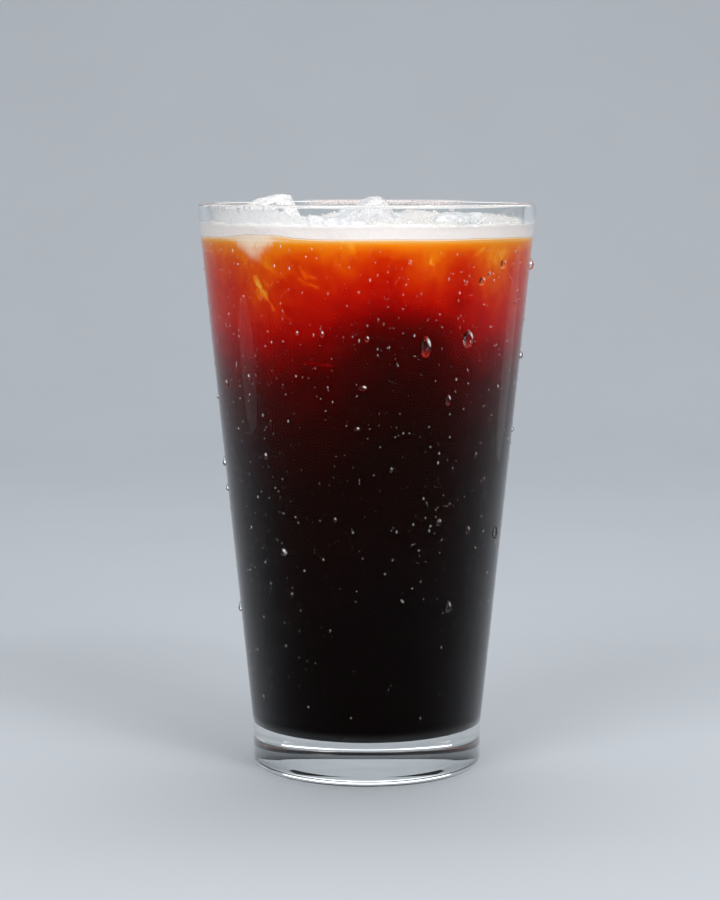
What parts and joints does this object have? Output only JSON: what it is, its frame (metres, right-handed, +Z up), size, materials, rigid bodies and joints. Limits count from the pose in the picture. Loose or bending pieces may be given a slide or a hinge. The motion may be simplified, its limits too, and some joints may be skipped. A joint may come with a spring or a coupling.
{
  "type": "iced americano in a pint glass",
  "caption": "Tapered, thick-based pint glass of iced black coffee, topped by pale foam, with ice blocks breaking through it and rising past the rim.",
  "frame": {"origin": "middle of the foot, in the plane that the glass stands on", "axes": "+Z up along the glass's axis, -Y towards the side that the picture shows"},
  "size_m": [0.0888, 0.0888, 0.1519],
  "materials": {
    "glass": "clear, smooth, beaded with condensation",
    "coffee": "dark liquid, amber under the foam and near black below",
    "foam": "fine pale bubbles",
    "ice": "wet, clear at the edges and cloudy inside"
  },
  "bodies": {
    "root": {"glass": "glass", "coffee": "coffee", "foam": "foam", "ice_peak": "ice", "ice_corner": "ice", "ice_left": "ice", "ice_front": "ice", "ice_frosted": "ice", "ice_right": "ice", "ice_back": "ice"}
  },
  "joints": []
}
